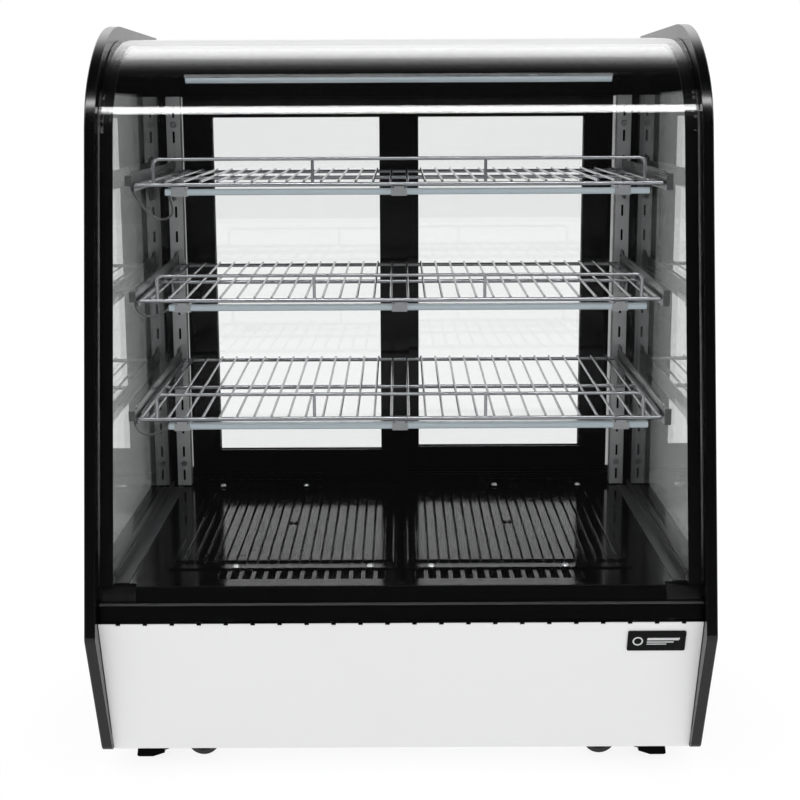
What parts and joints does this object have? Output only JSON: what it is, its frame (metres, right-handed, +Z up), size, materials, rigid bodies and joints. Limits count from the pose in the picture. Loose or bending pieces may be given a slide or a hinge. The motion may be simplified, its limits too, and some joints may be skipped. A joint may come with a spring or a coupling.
{
  "type": "bakery display case",
  "caption": "Free-standing refrigerated bakery display case with curved front glass, glazed sides, sliding rear doors, wire shelves with lamps, a ribbed deck and casters.",
  "frame": {"origin": "on the floor, in the middle of the width and depth", "axes": "+X right seen from the customer side, +Y to the rear (door side), +Z up"},
  "size_m": [0.7, 0.5702, 0.866],
  "materials": {
    "black_rim": "satin black",
    "clear_glass": "clear",
    "black_border": "gloss black ceramic print",
    "black_rubber": "matt",
    "white_panel": "satin white",
    "black_plastic": "satin",
    "black_gloss": "gloss black",
    "black_frame": "gloss black powder coat",
    "steel": "satin",
    "chrome_wire": "polished",
    "aluminium": "satin",
    "milky_lens": "milky",
    "clear_clip": "translucent",
    "lead_jacket": "grey jacket",
    "galvanised": "galvanised",
    "tub_foam": "foam core in plastic skins",
    "screw_steel": "satin",
    "fins": "plain",
    "compressor_black": "black enamel",
    "fan_metal": "plain",
    "copper": "copper tube",
    "black_sheet": "fine texture black",
    "grey_plastic": "satin",
    "rocker_green": "gloss",
    "zinc": "zinc plated",
    "wheel_rubber": "solid tyre"
  },
  "bodies": {
    "cabinet": {"badge_plate": "black_gloss", "base_chassis": "galvanised", "caster_plates": "zinc", "ceiling_panel": "black_gloss", "compressor": "compressor_black", "condenser_coil": "fins", "condenser_shroud": "galvanised", "controller": "black_plastic", "deck_base": "black_gloss", "deck_plates": "black_gloss", "door_tracks": "black_plastic", "drain_pan": "black_plastic", "end_frame_left": "black_rim", "end_frame_right": "black_rim", "evaporator_coil": "fins", "evaporator_fan_frame": "galvanised", "front_glass": "clear_glass", "front_panel": "white_panel", "glass_rail": "black_plastic", "glass_seals": "black_rubber", "insulated_tub": "tub_foam", "lamp_channels": "aluminium", "lamp_clips": "clear_clip", "lamp_lead_bottom": "lead_jacket", "lamp_lead_middle": "lead_jacket", "lamp_lead_top": "lead_jacket", "lamp_lenses": "milky_lens", "power_inlet": "black_plastic", "rear_air_grille": "black_gloss", "rear_frame": "black_frame", "rear_panel": "black_sheet", "refrigerant_lines": "copper", "screws": "screw_steel", "shelf_bottom": "chrome_wire", "shelf_brackets": "steel", "shelf_middle": "chrome_wire", "shelf_standards": "steel", "shelf_top": "chrome_wire", "side_glass_borders": "black_border", "side_glasses": "clear_glass", "top_panel": "white_panel"},
    "door_left": {"door_frame_left": "black_frame", "door_glass_left": "clear_glass"},
    "door_right": {"door_frame_right": "black_frame", "door_glass_right": "clear_glass"},
    "evaporator_fan": {"evaporator_fan": "black_plastic"},
    "condenser_fan": {"condenser_fan": "fan_metal"},
    "button_up": {"controller_button_up": "grey_plastic"},
    "button_down": {"controller_button_down": "grey_plastic"},
    "rocker": {"light_rocker": "rocker_green"},
    "swivel_front_left": {"caster_fork_front_left": "zinc"},
    "wheel_front_left": {"caster_wheel_front_left": "wheel_rubber"},
    "swivel_front_right": {"caster_fork_front_right": "zinc"},
    "wheel_front_right": {"caster_wheel_front_right": "wheel_rubber"},
    "swivel_rear_left": {"caster_fork_rear_left": "zinc"},
    "wheel_rear_left": {"caster_wheel_rear_left": "wheel_rubber"},
    "swivel_rear_right": {"caster_fork_rear_right": "zinc"},
    "wheel_rear_right": {"caster_wheel_rear_right": "wheel_rubber"},
    "pedal_left": {"brake_pedal_left": "black_plastic"},
    "pedal_right": {"brake_pedal_right": "black_plastic"}
  },
  "joints": [
    {"name": "door_left_slide", "type": "slide", "parent": "cabinet", "child": "door_left", "axis": [1, 0, 0], "range_m": [0, 0.28]},
    {"name": "door_right_slide", "type": "slide", "parent": "cabinet", "child": "door_right", "axis": [1, 0, 0], "range_m": [-0.28, 0]},
    {"name": "evaporator_fan_spin", "type": "hinge", "parent": "cabinet", "child": "evaporator_fan", "pos_m": [0.04, -0.032, 0.19], "axis": [0, 1, 0], "continuous": true},
    {"name": "condenser_fan_spin", "type": "hinge", "parent": "cabinet", "child": "condenser_fan", "pos_m": [0.182, 0.213, 0.126], "axis": [0, 1, 0], "continuous": true},
    {"name": "button_up_press", "type": "slide", "parent": "cabinet", "child": "button_up", "axis": [0, -1, 0], "range_m": [0, 0.001], "stiffness_N_per_m": 400},
    {"name": "button_down_press", "type": "slide", "parent": "cabinet", "child": "button_down", "axis": [0, -1, 0], "range_m": [0, 0.001], "stiffness_N_per_m": 400},
    {"name": "light_rocker_tilt", "type": "hinge", "parent": "cabinet", "child": "rocker", "pos_m": [-0.28, 0.279, 0.168], "axis": [-1, 0, 0], "range_deg": [0, 16]},
    {"name": "swivel_front_left", "type": "hinge", "parent": "cabinet", "child": "swivel_front_left", "pos_m": [-0.262, -0.152, 0.043], "axis": [0, 0, 1], "continuous": true},
    {"name": "wheel_front_left_spin", "type": "hinge", "parent": "swivel_front_left", "child": "wheel_front_left", "pos_m": [-0.239, -0.152, 0.0195], "axis": [0, 1, 0], "continuous": true},
    {"name": "swivel_front_right", "type": "hinge", "parent": "cabinet", "child": "swivel_front_right", "pos_m": [0.262, -0.152, 0.043], "axis": [0, 0, 1], "continuous": true},
    {"name": "wheel_front_right_spin", "type": "hinge", "parent": "swivel_front_right", "child": "wheel_front_right", "pos_m": [0.239, -0.152, 0.0195], "axis": [0, 1, 0], "continuous": true},
    {"name": "swivel_rear_left", "type": "hinge", "parent": "cabinet", "child": "swivel_rear_left", "pos_m": [-0.262, 0.225, 0.043], "axis": [0, 0, 1], "continuous": true},
    {"name": "wheel_rear_left_spin", "type": "hinge", "parent": "swivel_rear_left", "child": "wheel_rear_left", "pos_m": [-0.239, 0.225, 0.0195], "axis": [0, 1, 0], "continuous": true},
    {"name": "swivel_rear_right", "type": "hinge", "parent": "cabinet", "child": "swivel_rear_right", "pos_m": [0.262, 0.225, 0.043], "axis": [0, 0, 1], "continuous": true},
    {"name": "wheel_rear_right_spin", "type": "hinge", "parent": "swivel_rear_right", "child": "wheel_rear_right", "pos_m": [0.239, 0.225, 0.0195], "axis": [0, 1, 0], "continuous": true},
    {"name": "pedal_left_lift", "type": "hinge", "parent": "swivel_front_left", "child": "pedal_left", "pos_m": [-0.276, -0.152, 0.034], "axis": [0, 1, 0], "range_deg": [0, 20]},
    {"name": "pedal_right_lift", "type": "hinge", "parent": "swivel_front_right", "child": "pedal_right", "pos_m": [0.276, -0.152, 0.034], "axis": [0, -1, 0], "range_deg": [0, 20]}
  ]
}
